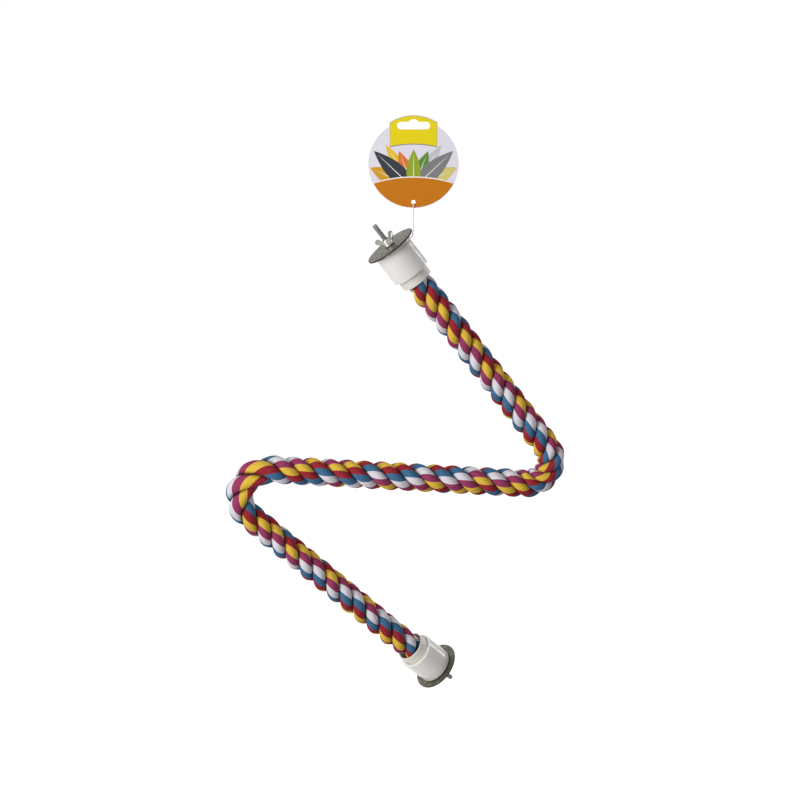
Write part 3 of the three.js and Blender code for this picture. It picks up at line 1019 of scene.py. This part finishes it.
def ear_mesh(side):
    """One ear of a wing nut: a flat drop with a thick rim and dished faces, in the nut's own frame."""
    lean = math.degrees(math.atan2(EAR_TIP[1] - EAR_SHOULDER[1], EAR_TIP[0] - EAR_SHOULDER[0]))
    start, end = (lean + degrees for degrees in EAR_TIP_SWEEP)
    outline = np.array(arc_points(EAR_TIP, EAR_TIP_RADIUS, start, end, steps=18) + EAR_ROOT)
    middle = outline.mean(0) + EAR_DISH_SHIFT
    halves = []
    for face_side in (1, -1):
        points = []
        for share, thick in EAR_RINGS:
            for x, z in middle + (outline - middle) * share:
                points.append((side * x, face_side * thick * EAR_THICKNESS, z))
        faces = tube_faces(len(EAR_RINGS), len(outline))
        if face_side * side < 0:
            faces = [face[::-1] for face in faces]
        halves.append((points, faces))
    return joined(halves)


def hub_mesh():
    return lathe(rounded([
        (NUT_BASE, 0, NUT_BASE_ROUND), (NUT_TOP, NUT_HEIGHT, NUT_TOP_ROUND),
        (BOLT_HOLE, NUT_HEIGHT, BOLT_HOLE_ROUND), (BOLT_HOLE, 0, BOLT_HOLE_ROUND),
    ]), NUT_SEGMENTS)


def make_wing_nut(end, place):
    """A cast wing nut: hub and ears melted together."""
    points, faces = joined([hub_mesh(), ear_mesh(1), ear_mesh(-1)])
    rough = mesh_object(f"{end}_wing_nut_rough", points, faces, [BRIGHT_ZINC])
    remesh = rough.modifiers.new("melt", "REMESH")
    remesh.mode = "VOXEL"
    remesh.voxel_size = NUT_VOXEL
    remesh.use_smooth_shade = True
    smooth = rough.modifiers.new("cast", "SMOOTH")
    smooth.factor = NUT_SMOOTHING
    smooth.iterations = NUT_SMOOTHING_ROUNDS
    mesh = final_mesh(rough)
    mesh.transform(place @ Matrix.Translation((0, 0, 2 * CLEARANCE + WASHER_THICKNESS)))
    nut = new_object(f"{end}_wing_nut_cast", mesh)
    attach(nut, f"{end}_nut")
    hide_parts(f"{end}_wing_nut")


for end in ("upper", "lower"):
    place = end_place(end)
    make_cap(end, place)
    make_sleeve(end, place)
    make_clamp_washer(end, place)
    make_bolt(end, place)
    make_wing_nut(end, place)
    frame["nodes"][f"{end}_bolt_washer"].data.materials[0] = BRIGHT_ZINC


# Swing tag
def flat_shape(name, outlines, depth, front, material):
    """A flat plate in the X-Z plane from closed outlines, the inner ones holes. front is its front face."""
    curve = bpy.data.curves.new(name, "CURVE")
    curve.dimensions = "2D"
    curve.fill_mode = "BOTH"
    curve.extrude = depth / 2
    for outline in outlines:
        spline = curve.splines.new("POLY")
        spline.points.add(len(outline) - 1)
        for point, (x, z) in zip(spline.points, outline):
            point.co = (x, z, 0, 1)
        spline.use_cyclic_u = True
    mesh = final_mesh(new_object(name, curve))
    mesh.transform(Matrix.Translation((0, front + depth / 2, 0)) @ Matrix.Rotation(math.pi / 2, 4, "X"))
    mesh.materials.append(material)
    return new_object(name, mesh)


def tab_arc(inset):
    """The upper edge of the tab, or a line inside it, from left to right."""
    radius = TAB_RADIUS - inset
    corner = math.degrees(math.acos((TAB_HALF_WIDTH - inset) / radius))
    return arc_points((0, TAB_TOP - TAB_RADIUS), radius, 180 - corner, corner, steps=24)


def tag_outline():
    edge = math.degrees(math.acos(TAB_HALF_WIDTH / TAG_RADIUS))
    return arc_points((0, TAG_CENTRE), TAG_RADIUS, edge, -180 - edge, steps=96) + tab_arc(inset=0)


def slot_outline():
    """A slot with round ends and a bump in its upper edge, where a hook centres itself."""
    end = SLOT_HEIGHT / 2
    out = SLOT_LENGTH / 2 - end
    centre = -SLOT_BUMP - end
    bump = (SLOT_BUMP_HALF_WIDTH ** 2 + SLOT_BUMP ** 2) / (2 * SLOT_BUMP)
    edge = math.degrees(math.acos(SLOT_BUMP_HALF_WIDTH / bump))
    right = arc_points((out, centre), end, -90, 90, steps=16)
    top = arc_points((0, -bump), bump, edge, 180 - edge, steps=12)
    left = arc_points((-out, centre), end, 90, 270, steps=16)
    return right + top + left


def hole_outline():
    return arc_points((0, -TAG_HOLE_DROP), TAG_HOLE_RADIUS, 0, 360, steps=24)[:-1]


def panel_outline(inset, drop=0.0):
    """The coloured panel of the tab, inside the card's edge, or its shade, which drops lower."""
    side = math.degrees(math.asin((TAB_HALF_WIDTH - inset) / PANEL_SAG))
    centre = (0, TAB_BOTTOM - drop - PANEL_SAG)
    return tab_arc(inset) + arc_points(centre, PANEL_SAG, 90 - side, 90 + side, steps=16)


def foot_outline(rise, inset):
    """The coloured foot of the card, under a low hill."""
    radius = TAG_RADIUS - inset
    centre = FOOT_TOP + rise - FOOT_HILL
    drop = TAG_CENTRE - centre
    height = (FOOT_HILL ** 2 - radius ** 2 - drop ** 2) / (2 * drop)
    edge = math.degrees(math.asin(height / radius))
    half_width = radius * math.cos(math.radians(edge))
    side = math.degrees(math.asin(half_width / FOOT_HILL))
    return (arc_points((0, centre), FOOT_HILL, 90 + side, 90 - side, steps=32)
            + arc_points((0, TAG_CENTRE), radius, edge, -180 - edge, steps=64))


def leaf_outline(length, width, degrees):
    """A pointed leaf that grows from the fan's root at an angle from upright, sizes in millimetres."""
    share = np.linspace(0, 1, LEAF_STATIONS)
    half = width * MM / 2 * np.sin(math.pi * share ** LEAF_BELLY) ** LEAF_BLUNTNESS
    along = np.concatenate([share, share[-2:0:-1]]) * length * MM
    across = np.concatenate([half, -half[-2:0:-1]])
    turn = math.radians(degrees)
    x = LEAF_ROOT[0] + along * math.sin(turn) + across * math.cos(turn)
    z = LEAF_ROOT[1] + along * math.cos(turn) - across * math.sin(turn)
    return list(zip(x, z))


def tag_prints():
    """Each printed area: its name, its outlines, its ink and its layer from the card."""
    prints = [
        ("tag_panel_shade", [panel_outline(SHADE_INSET, SHADE_DROP), slot_outline()], INK_GREY, 1),
        ("tag_panel", [panel_outline(PANEL_INSET), slot_outline()], INK_YELLOW, 2),
    ]
    for i, (degrees, length, width, layer, colour) in enumerate(LEAVES, 1):
        leaf = leaf_outline(length, width, degrees)
        rib = leaf_outline(length * RIB_REACH, RIB_WIDTH, degrees)
        ink = printed(f"ink_leaf_{i}", linear(*colour))
        prints.append((f"tag_leaf_{i}", [leaf], ink, 2 * layer + 1))
        prints.append((f"tag_rib_{i}", [rib], INK_WHITE, 2 * layer + 2))
    over = 2 * LEAF_LAYERS + 1
    prints.append(("tag_line", [foot_outline(FOOT_LINE, FOOT_INSET), hole_outline()], INK_WHITE, over))
    prints.append(("tag_foot", [foot_outline(0, FOOT_INSET), hole_outline()], INK_ORANGE, over + 1))
    return prints


def make_tag():
    front = -TAG_THICKNESS / 2
    outlines = [tag_outline(), slot_outline(), hole_outline()]
    card = flat_shape("tag_card", outlines, TAG_THICKNESS, front, CARD_WHITE)
    card.data.materials.append(CARD_BACK)
    for face in card.data.polygons:
        looks_back = face.normal.y > 0.5
        face.material_index = 1 if looks_back else 0
    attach(card, "upper_end")
    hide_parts("swing_tag")
    for name, outlines, ink, layer in tag_prints():
        area = flat_shape(name, outlines, INK, front - INK * layer, ink)
        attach(area, "upper_end")


make_tag()


# Stage
def seen_directly(tree):
    """One for what the camera sees, straight or in a mirror or glass, and nothing for other light."""
    path = tree.nodes.new("ShaderNodeLightPath")
    seen = path.outputs["Is Camera Ray"]
    for ray in ("Is Glossy Ray", "Is Transmission Ray"):
        either = tree.nodes.new("ShaderNodeMath")
        either.operation = "MAXIMUM"
        tree.links.new(seen, either.inputs[0])
        tree.links.new(path.outputs[ray], either.inputs[1])
        seen = either.outputs[0]
    return seen


def floor_white():
    """A mid grey for the light on the object, lifted to white where it is seen."""
    finish = Finish("floor_white", FLOOR_ROUGHNESS)
    finish.constant("Base Color", FLOOR_GREY)
    finish.constant("Specular IOR Level", 0.0)
    finish.constant("Emission Color", WHITE)
    lift = finish.math("MULTIPLY", seen_directly(finish.tree), FLOOR_LIFT)
    finish.link(lift, finish.shader.inputs["Emission Strength"])
    return finish.material


def make_floor():
    height = cad_box[0].z - FLOOR_DROP
    sides = ((-1, -1), (1, -1), (1, 1), (-1, 1))
    corners = [(x * FLOOR_HALF, y * FLOOR_HALF, height) for x, y in sides]
    floor = mesh_object("floor", corners, [(0, 1, 2, 3)], [floor_white()])


def make_world():
    world = bpy.data.worlds.new("surroundings")
    bpy.context.scene.world = world
    world.use_nodes = True
    tree = world.node_tree
    light = tree.nodes["Background"]
    light.inputs["Color"].default_value = WHITE
    light.inputs["Strength"].default_value = WORLD_LIGHT
    white = tree.nodes.new("ShaderNodeBackground")
    white.inputs["Color"].default_value = WHITE
    mix = tree.nodes.new("ShaderNodeMixShader")
    tree.links.new(seen_directly(tree), mix.inputs["Fac"])
    tree.links.new(light.outputs[0], mix.inputs[1])
    tree.links.new(white.outputs[0], mix.inputs[2])
    tree.links.new(mix.outputs[0], tree.nodes["World Output"].inputs["Surface"])


def make_softbox(name, place, power, width, height, mirrored):
    lamp = bpy.data.lights.new(name, "AREA")
    lamp.shape = "RECTANGLE"
    lamp.size = width
    lamp.size_y = height
    lamp.energy = power
    box = new_object(name, lamp)
    box.visible_glossy = mirrored
    box.location = place
    box.rotation_euler = (CAMERA_TARGET - Vector(place)).to_track_quat("-Z", "Y").to_euler()


make_floor()
make_world()
for softbox in SOFTBOXES:
    make_softbox(*softbox)
bpy.context.scene.view_settings.view_transform = "Standard"
